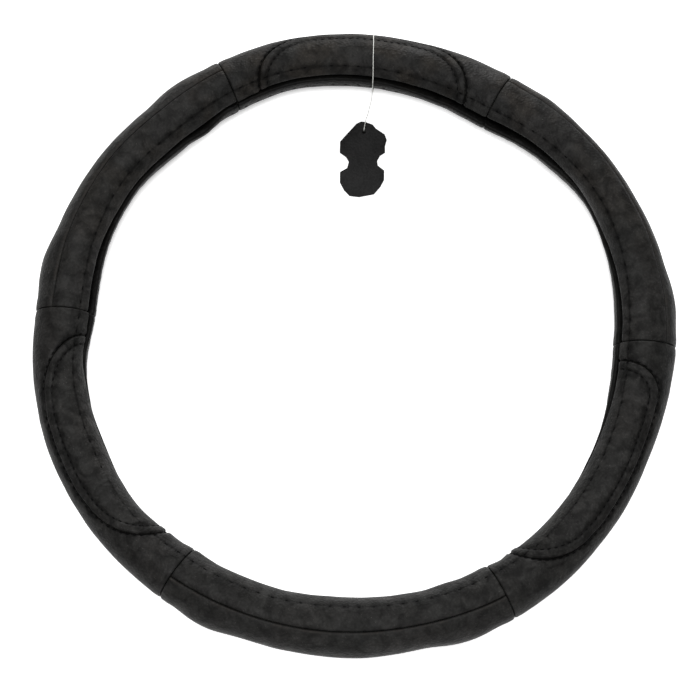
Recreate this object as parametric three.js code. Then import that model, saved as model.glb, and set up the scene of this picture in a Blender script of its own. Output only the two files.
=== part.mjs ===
// A stitched leather steering wheel cover: six sewn leather panels round a moulded rubber ring of C section.
// It lies face up on its back. Millimetres and degrees, +Z up, origin on the ring's axis at the level it rests on.
import * as THREE from "three";

// The tube and its layers.
const ringRadius = 175; // centre line of the tube
const restHeight = 17.6; // centre line above the surface under the cover
const tubeHalfWidth = 16; // centre line to the leather's outside, along the radius
const leatherThickness = 1.8; // leather with its foam backing
const seamThickness = 1.4; // where it is pared down at a seam
const rubberWall = 3.2;
const seatGap = 0.5; // between leather and rubber
const seamGap = 0.5; // between leather pieces that are sewn edge to edge
const edgeRound = 0.7; // how far a sewn or folded edge rolls down
const hemCover = 0.4; // how far the folded hem reaches past the rubber's inside
const landHalfAngle = 14; // the flat underneath, each side of straight down
const restLevel = 0;

// Anti-slip ribs inside the rubber ring, running round it.
const ribCount = 6;
const ribHeight = 1;

// Finger bulges near both ends of a plain panel, on the outside and the back.
const bulgeFromSeam = 28;
const bulgeHalfLength = 24;
const bulgeFacing = 112; // degrees round the section, from the front face outwards

// The six panels in order, anticlockwise from three o'clock. Each list has the value at the panel's first seam
// and at each quarter: shift of the centre line, change of half width, half height, and the two lips' facing.
// A plain panel has one long seam and the height of its two finger bulges. A grip panel has an insert, whose seam
// climbs from the front lip at both ends: the degrees of ring from each panel seam to the foot, and over which the
// seam climbs to its facing.
const firstSeam = -3.3;
const panels = [
  {
    name: "upper_right",
    longSeam: 36,
    bulges: [2.2, 0.9],
    span: 62.2,
    shift: [-2.4, -0.7, 0.7, -1.3],
    widen: [2.5, 0.2, -1.8, -0.5],
    halfHeight: [17.3, 18.2, 18.2, 18.2],
    frontLip: [-57, -64, -84, -64],
    backLip: [-67, -78, -97, -84],
  },
  {
    name: "top_grip",
    insert: { facing: 53, feet: [5.9, 5.6], climbs: [14, 14] },
    span: 57.7,
    shift: [-4.2, -2.9, -0.8, 1.1],
    widen: [1.9, 1.2, 0.2, -0.6],
    halfHeight: [17.3, 16.4, 16.3, 16.4],
    frontLip: [-60, -60, -60, -62],
    backLip: [-79, -73, -69, -71],
  },
  {
    name: "upper_left",
    longSeam: 19,
    bulges: [2.4, 2.7],
    span: 59.9,
    shift: [0.4, -1.2, 0.3, -0.6],
    widen: [-0.2, 0.5, -0.5, 0.4],
    halfHeight: [17.3, 18.2, 18.2, 18.2],
    frontLip: [-66, -68, -74, -72],
    backLip: [-77, -82, -83, -81],
  },
  {
    name: "lower_left_grip",
    insert: { facing: 39, feet: [5.1, 6.8], climbs: [9, 16] },
    span: 58.2,
    shift: [-1.8, 2, 2.9, 3.5],
    widen: [1.6, -0.4, 0, -1],
    halfHeight: [17.3, 16.4, 16.3, 16.4],
    frontLip: [-65, -80, -84, -84],
    backLip: [-75, -90, -94, -94],
  },
  {
    name: "bottom",
    longSeam: 14,
    bulges: [2.5, 1.9],
    span: 63.7,
    shift: [1.5, 0.4, -0.3, -0.3],
    widen: [0.5, 0.5, 1.2, 0.2],
    halfHeight: [17.3, 18.2, 18.2, 18.2],
    frontLip: [-84, -84, -84, -84],
    backLip: [-94, -94, -94, -94],
  },
  {
    name: "lower_right_grip",
    insert: { facing: 38, feet: [5.6, 4.1], climbs: [16, 7] },
    shift: [0.7, 0.3, -1.6, -3],
    widen: [0.9, 0.2, 0.1, 0.7],
    halfHeight: [17.3, 16.4, 16.3, 16.4],
    frontLip: [-84, -84, -80, -67],
    backLip: [-94, -94, -90, -77],
  },
];

// Where the hem of the back lip is gathered and stands in towards the ring's middle, or is drawn back from it:
// the angle of the ring, the degrees that the gather reaches each way, and how far it stands in.
const gathers = [
  [33, 13, -1.8],
  [72, 5, 0.8],
  [125.5, 6.5, 2.6],
  [186, 7, -1.5],
  [236, 4.5, 0.7],
  [288.5, 4.5, 0.8],
  [301, 4.5, -1.2],
];
const gatherFacing = 272;
const gatherReach = 40; // degrees of section, each way

// How finely the surfaces are stepped.
const plainSteps = 8;
const gripSteps = 3;
const riseSteps = 6;
const rubberStep = 1.5; // least degrees of ring between the rubber's rows
const faceSteps = 4;
const stripSteps = 6;
const wrapSteps = 10;
const backSteps = 3;

// The hang tag, a swatch of the same leather, and the thread that ties it to the top grip panel.
const tagThickness = 1.2;
const tagPlace = [4.5, 115.5];
const tagHoleRadius = 0.75;
const tagHolePlace = [1.2, 17.9];
const threadDiameter = 0.6;
const threadSides = 3; // on each half of the thread's section
const threadSteps = 70;
const tagOutline = [
  [-0.8, 25.0],
  [-3.6, 23.4],
  [-8.8, 17.4],
  [-13.7, 11.6],
  [-13.9, 4.3],
  [-10.1, 1.5],
  [-8.2, -1.7],
  [-9.3, -6.0],
  [-13.7, -8.5],
  [-13.8, -15.3],
  [-11.2, -20.5],
  [-7.8, -24.2],
  [-1.9, -25.0],
  [7.4, -23.1],
  [11.2, -18.5],
  [13.7, -13.8],
  [13.8, -7.6],
  [9.8, -4.3],
  [9.4, -1.2],
  [11.3, 2.3],
  [14.4, 4.3],
  [14.3, 8.4],
  [15.5, 12.7],
  [14.2, 16.4],
  [8.7, 20.3],
  [6.8, 22.9],
  [1.9, 24.8],
];
const threadRoute = [
  [5.7, 133.4, 0.8],
  [5.8, 134.6, 2.0],
  [6.2, 137.4, 2.0],
  [6.9, 141.2, 1.9],
  [8.3, 146.0, 0.7],
  [9.6, 151.5, 0.4],
  [10.7, 156.6, 1.4],
  [10.9, 158.6, 4.6],
  [10.9, 157.9, 8.8],
  [10.9, 156.6, 14.0],
  [11.0, 156.5, 20.6],
  [11.1, 158.6, 26.5],
  [11.2, 163.2, 31.1],
  [11.3, 168.3, 34.2],
  [11.4, 174.0, 35.1],
  [11.5, 179.6, 34.1],
  [11.6, 184.9, 31.1],
  [11.7, 189.2, 26.4],
  [11.8, 191.5, 20.6],
  [11.9, 191.5, 14.6],
  [12.0, 189.4, 8.8],
  [12.1, 185.0, 4.2],
  [12.2, 179.7, 1.4],
  [12.3, 174.0, 0.5],
  [12.3, 167.5, 0.5],
  [12.3, 162.6, 1.5],
  [12.2, 159.9, 4.6],
  [12.1, 157.9, 8.8],
  [12.0, 156.6, 14.0],
  [12.0, 156.5, 20.6],
  [12.1, 158.6, 26.5],
  [12.1, 163.0, 31.0],
  [12.0, 164.6, 32.2],
];

const leatherColour = 0x2a2a2a;
const rubberColour = 0x131313;
const tagColour = 0x1b1b1b;
const threadColour = 0xe9e9e4;

const degree = Math.PI / 180;
const fullTurn = 360;
const hemDepth = leatherThickness + seatGap + rubberWall + hemCover;
const innerHalfWidth = tubeHalfWidth - leatherThickness;

// The angle round the section that a length along the tube's surface takes.
function facingOf(length) {
  return length / tubeHalfWidth / degree;
}

// The angle round the ring that a length along the centre line takes.
function turnOf(length) {
  return length / ringRadius / degree;
}

const spans = panels.map((panel) => panel.span ?? 0);
spans[panels.length - 1] = fullTurn - spans.reduce((sum, span) => sum + span, 0);
const seams = spans.map((_, i) => firstSeam + spans.slice(0, i).reduce((sum, span) => sum + span, 0));

// The panel at an angle of the ring, and how far along it the angle is, from 0 to 1.
function placeOnPanels(angle) {
  const turned = THREE.MathUtils.euclideanModulo(angle - firstSeam, fullTurn) + firstSeam;
  let index = seams.length - 1;
  while (seams[index] > turned) index -= 1;
  return { index, share: (turned - seams[index]) / spans[index] };
}

// A smooth closed curve through one of the panels' lists.
function around(key) {
  const values = panels.flatMap((panel) => panel[key]);
  const quarters = values.length / panels.length;
  return (angle) => {
    const { index, share } = placeOnPanels(angle);
    const along = (index + share) * quarters;
    const start = Math.floor(along);
    const [a, b, c, d] = [-1, 0, 1, 2].map(
      (step) => values[THREE.MathUtils.euclideanModulo(start + step, values.length)],
    );
    const t = along - start;
    const bend = 2 * a - 5 * b + 4 * c - d;
    const twist = 3 * b - 3 * c + d - a;
    return b + 0.5 * t * (c - a + t * (bend + t * twist));
  };
}

const shiftAt = around("shift");
const widenAt = around("widen");
const halfHeightAt = around("halfHeight");
const frontLipAt = around("frontLip");
const backLipAt = around("backLip");

// A smooth swelling that falls from 1 in its middle to 0 at its reach.
function swellAt(distance, reach) {
  const away = Math.min(1, Math.abs(distance) / reach);
  return Math.cos((away * Math.PI) / 2) ** 2;
}

// How far the finger bulges lift the leather at an angle of the ring and a facing of the section.
function bulgeAt(angle, facing) {
  const { index, share } = placeOnPanels(angle);
  if (panels[index].insert) return 0;
  const along = share * spans[index] * degree * ringRadius;
  const fromSeam = Math.min(along, spans[index] * degree * ringRadius - along);
  const height = panels[index].bulges[share < 0.5 ? 0 : 1];
  const swell = swellAt(fromSeam - bulgeFromSeam, bulgeHalfLength);
  return height * swell * Math.max(0, Math.cos((facing - bulgeFacing) * degree));
}

// How far the gathers of the back lip move the wall there.
function gatherAt(angle, facing) {
  const turned = THREE.MathUtils.euclideanModulo(angle, fullTurn);
  const near = swellAt(THREE.MathUtils.euclideanModulo(facing, fullTurn) - gatherFacing, gatherReach);
  return gathers.reduce((sum, [at, reach, height]) => sum + height * near * swellAt(turned - at, reach), 0);
}

// A point of the tube: facing 0 is the front, 90 the outside, 180 the back and -90 the ring's middle.
// Depth is measured inwards from the leather's outside. The gathers move the whole wall.
function tubePoint(angle, facing, depth) {
  const inwards = depth - gatherAt(angle, facing);
  const radius =
    ringRadius + shiftAt(angle) + (tubeHalfWidth + widenAt(angle) - inwards) * Math.sin(facing * degree);
  const height = restHeight + (halfHeightAt(angle) - inwards) * Math.cos(facing * degree);
  return new THREE.Vector3(radius * Math.cos(angle * degree), radius * Math.sin(angle * degree), height);
}

// A point of the leather. The outside carries the bulges and is flat where it rests.
function leatherPoint(angle, facing, depth) {
  const lift = bulgeAt(angle, facing) * Math.max(0, 1 - depth / leatherThickness);
  const point = tubePoint(angle, facing, depth - lift);
  point.z = Math.max(point.z, restLevel);
  return point;
}

// Evenly spaced values between two ends, without the ends.
function between(from, to, count) {
  return Array.from({ length: count - 1 }, (_, i) => from + ((to - from) * (i + 1)) / count);
}

// The section of a leather piece, as pairs of a point outside and one inside: [facing, depth, facing, depth].
// An edge is either a hem, folded in over the rubber's lip, or a seam, cut square under a rolled edge.
function edgePairs(edge, inwards, hem) {
  const fold = facingOf(leatherThickness) * inwards;
  const roll = facingOf(edgeRound) * inwards;
  if (hem)
    return [
      [edge, edgeRound, edge, hemDepth],
      [edge + fold, 0, edge + fold, hemDepth],
      [edge + fold + roll, 0, edge + fold, leatherThickness],
    ];
  return [
    [edge, edgeRound, edge, seamThickness],
    [edge + roll, 0, edge + roll, seamThickness],
    [edge + 2 * roll, 0, edge + 2 * roll, leatherThickness],
  ];
}

// One row of a leather piece. A row that goes round to the back takes toBack steps to the flat underneath.
function leatherRow({ angle, from, to, hemFrom, hemTo, sunk = 0, toBack = 0 }) {
  const start = edgePairs(from, 1, hemFrom);
  const end = edgePairs(to, -1, hemTo).reverse();
  const [first, last] = [start[2][0], end[0][0]];
  const lands = [180 - landHalfAngle, 180 + landHalfAngle];
  const stepped = toBack
    ? [...between(first, lands[0], toBack), ...lands, ...between(lands[1], last, backSteps)]
    : between(first, last, faceSteps);
  const middle = stepped.map((facing) => [facing, 0, facing, leatherThickness]);
  const pairs = [...start, ...middle, ...end];
  return {
    outside: pairs.map(([facing, depth]) => leatherPoint(angle, facing, Math.max(depth, sunk))),
    inside: pairs.map(([, , facing, depth]) => leatherPoint(angle, facing, depth)),
  };
}

// A closed surface through rows of paired points, each four split along the shorter diagonal.
// An open run of rows is capped at both ends.
function loft(rows, closed) {
  const width = rows[0].outside.length;
  const loop = 2 * width;
  const points = rows.flatMap(({ outside, inside }) => [...outside, ...[...inside].reverse()]);
  const faces = [];
  const runs = closed ? rows.length : rows.length - 1;
  for (let row = 0; row < runs; row += 1) {
    const here = row * loop;
    const next = ((row + 1) % rows.length) * loop;
    for (let i = 0; i < loop; i += 1) {
      const j = (i + 1) % loop;
      const [a, b, c, d] = [here + i, here + j, next + j, next + i];
      const shorter = points[a].distanceTo(points[c]) <= points[b].distanceTo(points[d]);
      faces.push(...(shorter ? [a, c, d, a, b, c] : [a, b, d, b, c, d]));
    }
  }
  if (!closed) {
    const top = (rows.length - 1) * loop;
    for (let i = 0; i < width - 1; i += 1) {
      const [low, lowNext] = [loop - 1 - i, loop - 2 - i];
      faces.push(i, lowNext, i + 1, i, low, lowNext);
      faces.push(top + i, top + i + 1, top + lowNext, top + i, top + lowNext, top + low);
    }
  }
  const geometry = new THREE.BufferGeometry();
  geometry.setAttribute("position", new THREE.Float32BufferAttribute(points.flatMap((p) => p.toArray()), 3));
  geometry.setIndex(faces);
  geometry.computeVertexNormals();
  return geometry;
}

function meshOf(name, geometry, colour, roughness) {
  const material = new THREE.MeshStandardMaterial({ color: colour, roughness, metalness: 0 });
  const mesh = new THREE.Mesh(geometry, material);
  mesh.name = name;
  return mesh;
}

function leatherMesh(name, rows) {
  return meshOf(name, loft(rows.map(leatherRow), false), leatherColour, 0.62);
}

function sunkAt(i, angles) {
  return i === 0 || i === angles.length - 1 ? edgeRound : 0;
}

// The two ends of a panel's leather, half a gap short of its seams.
function panelEnds(index) {
  return [seams[index] + turnOf(seamGap / 2), seams[index] + spans[index] - turnOf(seamGap / 2)];
}

// The angles where an insert's seam leaves the front lip.
function insertFeet(index) {
  const { feet } = panels[index].insert;
  return [seams[index] + feet[0], seams[index] + spans[index] - feet[1]];
}

// The angles of an insert's rows, closer together where its seam climbs.
function insertAngles(index) {
  const feet = insertFeet(index);
  const { climbs } = panels[index].insert;
  const shares = Array.from({ length: riseSteps }, (_, i) => 1 - Math.sqrt(1 - ((i + 1) / riseSteps) ** 2));
  return [
    ...shares.map((share) => feet[0] + climbs[0] * share),
    ...between(feet[0] + climbs[0], feet[1] - climbs[1], gripSteps),
    ...shares.map((share) => feet[1] - climbs[1] * share).reverse(),
  ];
}

// The angles of a panel's rows. The first and last row are its sunk, sewn ends.
function panelAngles(index) {
  const [start, end] = panelEnds(index);
  const feet = panels[index].insert ? insertFeet(index) : [];
  const hemEnd = turnOf(leatherThickness);
  const inner = panels[index].insert
    ? [feet[0] - hemEnd, feet[0], ...insertAngles(index), feet[1], feet[1] + hemEnd]
    : between(start, end, plainSteps);
  return [start, start + turnOf(edgeRound), ...inner, end - turnOf(edgeRound), end];
}

// A plain panel: a face strip from the front lip to the long seam, and an outer strip from there to the back lip.
function plainPanel(panel, index) {
  const angles = panelAngles(index);
  const halfGap = facingOf(seamGap / 2);
  const face = angles.map((angle, i) => ({
    angle,
    from: frontLipAt(angle),
    to: panel.longSeam - halfGap,
    hemFrom: true,
    hemTo: false,
    sunk: sunkAt(i, angles),
  }));
  const outer = angles.map((angle, i) => ({
    angle,
    from: panel.longSeam + halfGap,
    to: fullTurn + backLipAt(angle),
    hemFrom: false,
    hemTo: true,
    sunk: sunkAt(i, angles),
    toBack: stripSteps,
  }));
  return [leatherMesh(`${panel.name}_face_strip`, face), leatherMesh(`${panel.name}_outer_strip`, outer)];
}

// How far the insert's seam has climbed from the lip, from 0 to 1: a quarter ellipse at each end.
function climbAt(angle, index) {
  const feet = insertFeet(index);
  const { climbs } = panels[index].insert;
  const climbed = Math.min((angle - feet[0]) / climbs[0], (feet[1] - angle) / climbs[1]);
  if (climbed <= 0) return 0;
  return Math.sqrt(1 - Math.max(0, 1 - climbed) ** 2);
}

// A grip panel: an insert under the palm, and the outer piece that is sewn round it.
function gripPanel(panel, index) {
  const feet = insertFeet(index);
  const halfGap = facingOf(seamGap / 2);
  const seamAt = (angle) => {
    const lip = frontLipAt(angle);
    return lip + (panel.insert.facing - lip) * climbAt(angle, index);
  };
  const insert = insertAngles(index).map((angle) => ({
    angle,
    from: frontLipAt(angle),
    to: seamAt(angle) - halfGap,
    hemFrom: true,
    hemTo: false,
  }));
  const angles = panelAngles(index);
  const outer = angles.map((angle, i) => {
    const climbing = climbAt(angle, index) > 0;
    return {
      angle,
      from: climbing ? seamAt(angle) + halfGap : frontLipAt(angle),
      to: fullTurn + backLipAt(angle),
      hemFrom: angle < feet[0] || angle > feet[1],
      hemTo: true,
      sunk: sunkAt(i, angles),
      toBack: wrapSteps,
    };
  });
  return [leatherMesh(`${panel.name}_insert`, insert), leatherMesh(`${panel.name}_outer`, outer)];
}

// The rubber ring: a C section with ribs inside, open between the two hems. Its rows are some of the leather's.
function rubberRing() {
  const outsideDepth = leatherThickness + seatGap;
  const clear = facingOf(outsideDepth) * (tubeHalfWidth / innerHalfWidth);
  const angles = [];
  for (const angle of panels.flatMap((_, index) => panelAngles(index))) {
    const last = angles[angles.length - 1] ?? -fullTurn;
    if (angle - last >= rubberStep) angles.push(angle);
  }
  const rows = angles.map((angle) => {
    const from = frontLipAt(angle) + clear;
    const to = fullTurn + backLipAt(angle) - clear;
    const pairs = Array.from({ length: 2 * ribCount + 1 }, (_, i) => {
      const rib = i % 2 ? ribHeight : 0;
      return [from + ((to - from) * i) / (2 * ribCount), rib];
    });
    return {
      outside: pairs.map(([facing]) => tubePoint(angle, facing, outsideDepth)),
      inside: pairs.map(([facing, rib]) => tubePoint(angle, facing, outsideDepth + rubberWall + rib)),
    };
  });
  return meshOf("inner_rubber_ring", loft(rows, true), rubberColour, 0.85);
}

function hangTag() {
  const shape = new THREE.Shape(tagOutline.map((point) => new THREE.Vector2(...point)));
  const hole = new THREE.Path();
  hole.absarc(...tagHolePlace, tagHoleRadius, 0, 2 * Math.PI, true);
  shape.holes.push(hole);
  const options = { depth: tagThickness, bevelEnabled: false, curveSegments: 10 };
  const tag = meshOf("hang_tag", new THREE.ExtrudeGeometry(shape, options), tagColour, 0.7);
  tag.position.set(...tagPlace, restLevel);
  return tag;
}

function tagThread() {
  const route = new THREE.CatmullRomCurve3(threadRoute.map((point) => new THREE.Vector3(...point)));
  const section = new THREE.Shape();
  section.absarc(0, 0, threadDiameter / 2, 0, 2 * Math.PI, false);
  const options = { steps: threadSteps, extrudePath: route, curveSegments: threadSides };
  return meshOf("tag_thread", new THREE.ExtrudeGeometry(section, options), threadColour, 0.5);
}

const cover = new THREE.Group();
cover.add(rubberRing());
panels.forEach((panel, index) => {
  cover.add(...(panel.insert ? gripPanel(panel, index) : plainPanel(panel, index)));
});
cover.add(hangTag(), tagThread());

export default cover;
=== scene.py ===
import math

import bmesh
import bpy
import numpy as np
from mathutils import Matrix, Vector


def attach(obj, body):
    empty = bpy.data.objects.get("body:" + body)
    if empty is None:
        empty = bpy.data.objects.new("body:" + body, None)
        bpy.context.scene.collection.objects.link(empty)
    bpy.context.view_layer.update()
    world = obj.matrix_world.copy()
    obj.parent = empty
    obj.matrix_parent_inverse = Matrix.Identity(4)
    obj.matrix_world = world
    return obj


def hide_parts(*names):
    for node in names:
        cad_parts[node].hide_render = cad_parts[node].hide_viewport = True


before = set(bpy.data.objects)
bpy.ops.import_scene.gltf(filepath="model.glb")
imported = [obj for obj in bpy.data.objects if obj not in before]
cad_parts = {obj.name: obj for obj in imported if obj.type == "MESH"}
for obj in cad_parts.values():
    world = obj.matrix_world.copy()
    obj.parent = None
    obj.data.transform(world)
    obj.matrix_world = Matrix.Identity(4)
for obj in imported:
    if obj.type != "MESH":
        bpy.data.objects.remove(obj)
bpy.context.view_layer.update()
mm = 0.001
degree = math.pi / 180
around360 = 360.0
bpy.context.scene.view_settings.view_transform = "Standard"


def linear(code):
    channels = [int(code[i : i + 2], 16) / 255 for i in (1, 3, 5)]
    return tuple(c / 12.92 if c <= 0.04045 else ((c + 0.055) / 1.055) ** 2.4 for c in channels) + (1.0,)


# adds a node; a socket is given its value, or the socket that feeds it
def addNode(tree, kind, sockets=None, **settings):
    node = tree.nodes.new(kind)
    for name, value in settings.items():
        setattr(node, name, value)
    for name, value in (sockets or {}).items():
        if isinstance(value, bpy.types.NodeSocket):
            tree.links.new(value, node.inputs[name])
        else:
            node.inputs[name].default_value = value
    return node


# one number made from others; each of them is a number or a socket
def reckon(tree, operation, *values):
    return addNode(tree, "ShaderNodeMath", dict(enumerate(values)), operation=operation).outputs[0]


# a value carried over from one span to another
def remap(tree, value, start, end, low=0.0, high=1.0):
    sockets = {"Value": value, "From Min": start, "From Max": end, "To Min": low, "To Max": high}
    return addNode(tree, "ShaderNodeMapRange", sockets).outputs["Result"]


# noise with features of about this many millimetres
def noiseOf(tree, place, size, detail, distortion=0.0):
    sockets = {"Vector": place, "Scale": 1 / (size * mm), "Detail": detail, "Distortion": distortion}
    return addNode(tree, "ShaderNodeTexNoise", sockets).outputs["Fac"]


def mixed(tree, share, first, second):
    return addNode(tree, "ShaderNodeMix", {0: share, 6: first, 7: second}, data_type="RGBA").outputs[2]


def newMaterial(name):
    material = bpy.data.materials.new(name)
    material.use_nodes = True
    material.node_tree.nodes.clear()
    return material, material.node_tree


def objectPlace(tree):
    return addNode(tree, "ShaderNodeTexCoord").outputs["Object"]


# the surface itself, over a bump given as its strength and its depth in metres
def coat(tree, colour, roughness, shine, height, bump):
    sockets = {"Height": height, "Strength": bump[0], "Distance": bump[1]}
    rough = addNode(tree, "ShaderNodeBump", sockets).outputs["Normal"]
    sockets = {"Base Color": colour, "Roughness": roughness, "Specular IOR Level": shine, "Normal": rough}
    skin = addNode(tree, "ShaderNodeBsdfPrincipled", sockets)
    addNode(tree, "ShaderNodeOutputMaterial", {"Surface": skin.outputs["BSDF"]})


def linkObject(name, data):
    thing = bpy.data.objects.new(name, data)
    bpy.context.scene.collection.objects.link(thing)
    return thing


# the camera stands where the photo was taken from, seen from the ring lying on its back
photoView = {
    "elevation": 75.34,
    "distance": 1.0,  # metres to the middle of the ring
    "height": 0.0176,
    "lens": 86.16,
    "sensor": 36,
    "shift": (-0.00686, -0.02671),
    "clip": (0.05, 50),
}


def makeCamera():
    view = photoView
    lens = bpy.data.cameras.new("photoCamera")
    lens.lens = view["lens"]
    lens.sensor_width = view["sensor"]
    lens.shift_x, lens.shift_y = view["shift"]
    lens.clip_start, lens.clip_end = view["clip"]
    camera = linkObject("photoCamera", lens)
    up = view["elevation"] * degree
    away = Vector((0, -math.cos(up), math.sin(up))) * view["distance"]
    camera.location = Vector((0, 0, view["height"])) + away
    camera.rotation_euler = (math.pi / 2 - up, 0, 0)
    bpy.context.scene.camera = camera


makeCamera()
print("camera in place")

# the pale thread of the hang tag: from the tag's hole round the top grip panel, and once more up behind it
tagThread = {
    "diameter": 0.45,
    "length": 0.171,  # metres
    "route": [
        (5.7, 134.3, 0.9), (5.8, 135.0, 1.8), (6.2, 137.4, 1.9), (6.9, 141.2, 1.9),
        (8.3, 146.0, 0.7), (9.6, 151.5, 0.4), (10.7, 156.6, 1.4), (10.9, 158.6, 4.6),
        (10.9, 157.9, 8.8), (10.9, 156.6, 14.0), (11.0, 156.5, 20.6), (11.1, 158.6, 26.5),
        (11.2, 163.2, 31.1), (11.3, 168.3, 34.2), (11.4, 174.0, 35.1), (11.5, 179.6, 34.1),
        (11.6, 184.9, 31.1), (11.7, 189.2, 26.4), (11.8, 191.5, 20.6), (11.9, 191.5, 14.6),
        (12.0, 189.4, 8.8), (12.1, 185.0, 4.2), (12.2, 179.7, 1.4), (12.3, 174.0, 0.5),
        (12.1, 167.5, 0.5), (11.7, 162.6, 1.3), (11.3, 159.2, 4.2), (11.1, 157.3, 8.6),
        (11.1, 156.0, 14.0), (11.1, 155.9, 20.8), (11.2, 158.1, 26.9), (11.3, 162.8, 31.7),
        (11.3, 164.6, 32.9),
    ],
    "colour": "#e9e9e4",
    "roughness": 0.55,
    "shine": 0.5,
    "twist": {"Scale": 900.0, "Distortion": 1.5},
    "bump": (0.4, 0.0001),
}


# twisted polyester thread: pale, with a fine twist along it
def threadMaterial():
    look = tagThread
    material, tree = newMaterial("palePolyesterThread")
    waves = {"Vector": objectPlace(tree), **look["twist"]}
    twist = addNode(tree, "ShaderNodeTexWave", waves, bands_direction="DIAGONAL")
    coat(tree, linear(look["colour"]), look["roughness"], look["shine"], twist.outputs["Fac"], look["bump"])
    return material


def makeThread():
    line = bpy.data.curves.new("tagThreadLine", "CURVE")
    line.dimensions = "3D"
    line.bevel_depth = tagThread["diameter"] / 2 * mm
    line.bevel_resolution = 2
    line.use_fill_caps = True
    spline = line.splines.new("BEZIER")
    spline.bezier_points.add(len(tagThread["route"]) - 1)
    for point, place in zip(spline.bezier_points, tagThread["route"]):
        point.co = Vector(place) * mm
        point.handle_left_type = point.handle_right_type = "AUTO"
    line.materials.append(threadMaterial())
    thread = linkObject("tagThreadPiece", line)
    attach(thread, "root")
    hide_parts("tag_thread")
    return thread


threadPiece = makeThread()
print("thread in place")

# the cover's own sizes, in millimetres and degrees, as in the solid model
ring = {
    "radius": 175.0,
    "restHeight": 17.6,
    "floorClear": 0.02,
    "halfWidth": 16.0,
    "leather": 1.8,
    "seamThickness": 1.4,
    "seamClear": 0.1,
    "rubber": 3.2,
    "seat": 0.5,
    "hemCover": 0.4,
    "ribs": 6,
    "ribHeight": 1.0,
    "bulgeFromSeam": 28.0,
    "bulgeHalfLength": 24.0,
    "bulgeFacing": 112.0,
    "firstSeam": -3.3,
    "gatherFacing": 272.0,
    "gatherReach": 40.0,
}
# gathers of the back lip's hem: angle, reach each way, and how far it stands in
gathers = [
    (33, 13, -1.8), (72, 5, 0.8), (125.5, 6.5, 2.6), (186, 7, -1.5), (236, 4.5, 0.7), (288.5, 4.5, 0.8),
    (301, 4.5, -1.2),
]
# the six panels; each list has four values spaced evenly along the panel, and the lips are facings,
# which stand up to 3 mm off those of the solid model where the photo shows it
panels = [
    {
        "name": "upper_right", "longSeam": 36, "bulges": [2.2, 0.9], "span": 62.2,
        "shift": [-2.4, -0.7, 0.7, -1.3], "widen": [2.5, 0.2, -1.8, -0.5],
        "halfHeight": [17.3, 18.2, 18.2, 18.2],
        "frontLip": [-57, -64, -84, -64], "backLip": [-67, -78, -99, -88],
    },
    {
        "name": "top_grip", "insert": {"facing": 53, "feet": [5.9, 5.6], "climbs": [14, 14]}, "span": 57.7,
        "shift": [-4.2, -2.9, -0.8, 1.1], "widen": [1.9, 1.2, 0.2, -0.6],
        "halfHeight": [17.3, 16.4, 16.3, 16.4],
        "frontLip": [-60, -60, -60, -62], "backLip": [-84, -77, -72, -72],
    },
    {
        "name": "upper_left", "longSeam": 19, "bulges": [2.4, 2.7], "span": 59.9,
        "shift": [0.4, -1.2, 0.3, -0.6], "widen": [-0.2, 0.5, -0.5, 0.4],
        "halfHeight": [17.3, 18.2, 18.2, 18.2],
        "frontLip": [-66, -68, -71, -63], "backLip": [-77, -82, -84, -82],
    },
    {
        "name": "lower_left_grip", "insert": {"facing": 39, "feet": [5.1, 6.8], "climbs": [15, 16]},
        "span": 58.2, "shift": [-1.8, 2, 2.9, 3.5], "widen": [1.6, -0.4, 0, -1],
        "halfHeight": [17.3, 16.4, 16.3, 16.4],
        "frontLip": [-59, -79, -84, -84], "backLip": [-77, -90, -94, -94],
    },
    {
        "name": "bottom", "longSeam": 14, "bulges": [2.5, 1.9], "span": 63.7,
        "shift": [1.5, 0.4, -0.3, -0.3], "widen": [0.5, 0.5, 1.2, 0.2],
        "halfHeight": [17.3, 18.2, 18.2, 18.2],
        "frontLip": [-84, -84, -84, -84], "backLip": [-94, -94, -94, -94],
    },
    {
        "name": "lower_right_grip", "insert": {"facing": 38, "feet": [5.6, 4.1], "climbs": [16, 7]},
        "span": 58.3, "shift": [0.7, 0.3, -1.6, -3], "widen": [0.9, 0.2, 0.1, 0.7],
        "halfHeight": [17.3, 16.4, 16.3, 16.4],
        "frontLip": [-84, -84, -80, -67], "backLip": [-94, -94, -90, -77],
    },
]
spans = np.array([panel["span"] for panel in panels], float)
starts = np.concatenate([[0.0], np.cumsum(spans)[:-1]])
arcPerDegree = ring["radius"] * degree  # mm along the ring
facePerDegree = ring["halfWidth"] * degree  # mm round the section

# seams, hems and rows of stitches, in mm where nothing else is said
sewing = {
    "panelGap": 0.3,  # between two pieces sewn edge to edge
    "seamRoll": 1.15,  # radius of a sewn edge
    "lipRoll": 1.5,  # radius of a folded edge
    "deepest": 1.45,
    "padHeight": 0.45,  # the insert's stitched border stands up this much
    "padWidth": 5.2,
    "padRise": (0.4, 1.4),
    "padFall": (-1.2, 0.2),  # from the pad's width
    "hemFacing": -37.5,
    "backHemOffset": 24.0,  # degrees of section from the back lip
    "hemPitch": 8.9,
    "hemStitch": 2.6,
    "hemInset": 1.5,
    "hemFromSeam": 1.2,  # degrees of ring from a panel's end
    "insertRow": 5.7,  # the inner row of stitches lies this far inside the seam
    "insertRowClear": 5.5,
    "insertOuterRow": 0.8,
    "insertPitch": 4.1,
    "insertStitch": 2.7,
    "insertInset": 0.5,
    "insertFromLip": 3.0,
    "threadThickness": 0.95,
}
# low swellings beside the seams: height, distance from the seam, and width
swells = {"panelSeam": (0.25, 4, 3), "insertSeam": (0.2, 2.5, 2), "longSeam": (0.22, 3, 2.2)}
# how a stitch pulls the leather in: under itself, and in a shallow dimple around it
stitchPull = {"depth": 0.34, "width": 0.95, "short": 0.2, "fade": 0.7}
dimple = {"depth": 0.14, "width": 2.8, "reach": 0.9}


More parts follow.
